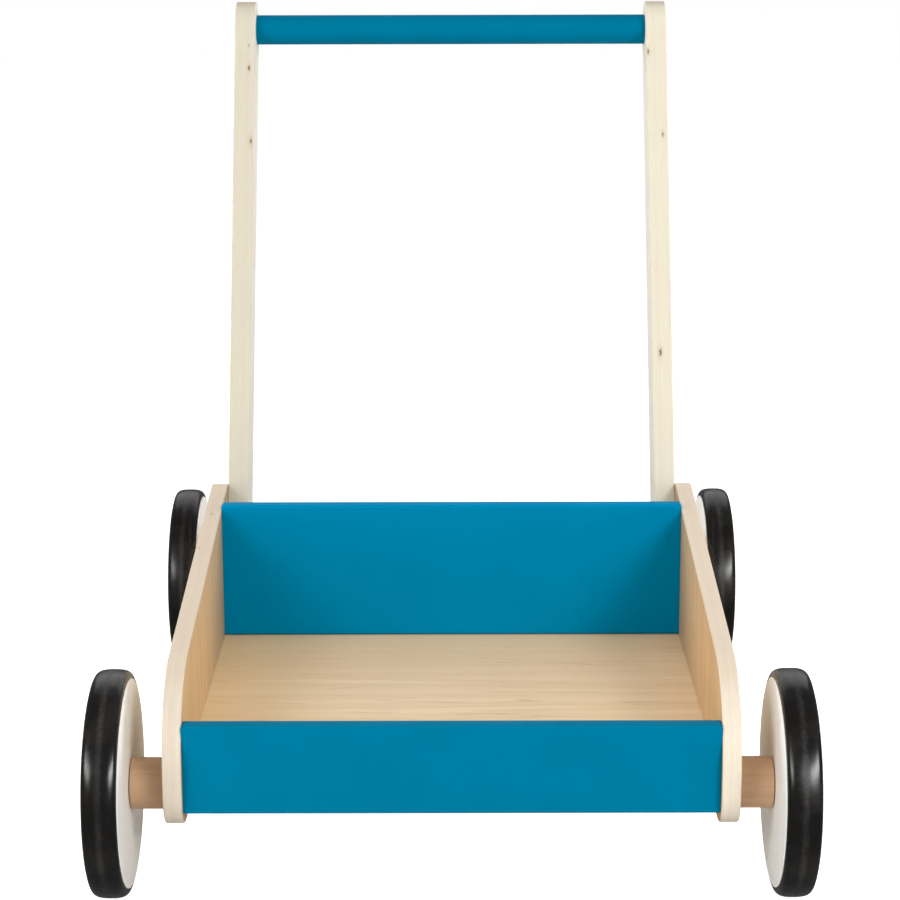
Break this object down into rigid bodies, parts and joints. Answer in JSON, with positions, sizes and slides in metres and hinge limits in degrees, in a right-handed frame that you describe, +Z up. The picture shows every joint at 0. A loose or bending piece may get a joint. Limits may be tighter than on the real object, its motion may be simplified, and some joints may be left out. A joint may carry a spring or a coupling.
{
  "type": "baby walker",
  "caption": "Wooden push-along baby walker: open plywood tray on rubber-tyred wheels, with a leaning push handle and round blue bar.",
  "frame": {"origin": "on the ground, midway between the two axles and between the left and right wheels", "axes": "+X to the walker's right, +Y from its front towards the handle, +Z up"},
  "size_m": [0.387, 0.511, 0.4467],
  "materials": {
    "birch_plywood": "clear matt lacquer, light laminated edges",
    "blue_paint": "blue paint, satin",
    "spacer_wood": "plain turned wood",
    "wheel_wood": "pale sanded wood",
    "tyre_rubber": "black rubber, low sheen",
    "nylon": "natural nylon",
    "steel": "zinc plated"
  },
  "bodies": {
    "frame": {"side_panel_left": "birch_plywood", "side_panel_right": "birch_plywood", "strut_left": "birch_plywood", "strut_right": "birch_plywood", "floor_panel": "birch_plywood", "front_panel": "blue_paint", "back_panel": "blue_paint", "handle_bar": "blue_paint", "axle_rod_front": "steel", "axle_rod_rear": "steel", "axle_spacer_front_left": "spacer_wood", "inner_washer_front_left": "steel", "outer_washer_front_left": "steel", "axle_cap_front_left": "steel", "axle_spacer_front_right": "spacer_wood", "inner_washer_front_right": "steel", "outer_washer_front_right": "steel", "axle_cap_front_right": "steel", "axle_spacer_rear_left": "spacer_wood", "inner_washer_rear_left": "steel", "outer_washer_rear_left": "steel", "axle_cap_rear_left": "steel", "axle_spacer_rear_right": "spacer_wood", "inner_washer_rear_right": "steel", "outer_washer_rear_right": "steel", "axle_cap_rear_right": "steel", "front_panel_screws": "steel", "back_panel_screws": "steel", "handle_screws": "steel", "strut_bolts": "steel", "strut_bolt_washers": "steel", "strut_cap_nuts": "steel"},
    "wheel_front_left": {"wheel_disc_front_left": "wheel_wood", "wheel_tyre_front_left": "tyre_rubber", "wheel_bush_front_left": "nylon"},
    "wheel_front_right": {"wheel_disc_front_right": "wheel_wood", "wheel_tyre_front_right": "tyre_rubber", "wheel_bush_front_right": "nylon"},
    "wheel_rear_left": {"wheel_disc_rear_left": "wheel_wood", "wheel_tyre_rear_left": "tyre_rubber", "wheel_bush_rear_left": "nylon"},
    "wheel_rear_right": {"wheel_disc_rear_right": "wheel_wood", "wheel_tyre_rear_right": "tyre_rubber", "wheel_bush_rear_right": "nylon"}
  },
  "joints": [
    {"name": "wheel_front_left_spin", "type": "hinge", "parent": "frame", "child": "wheel_front_left", "pos_m": [-0.1787, -0.1955, 0.06], "axis": [1, 0, 0], "continuous": true},
    {"name": "wheel_front_right_spin", "type": "hinge", "parent": "frame", "child": "wheel_front_right", "pos_m": [0.1787, -0.1955, 0.06], "axis": [1, 0, 0], "continuous": true},
    {"name": "wheel_rear_left_spin", "type": "hinge", "parent": "frame", "child": "wheel_rear_left", "pos_m": [-0.1787, 0.1955, 0.06], "axis": [1, 0, 0], "continuous": true},
    {"name": "wheel_rear_right_spin", "type": "hinge", "parent": "frame", "child": "wheel_rear_right", "pos_m": [0.1787, 0.1955, 0.06], "axis": [1, 0, 0], "continuous": true}
  ]
}
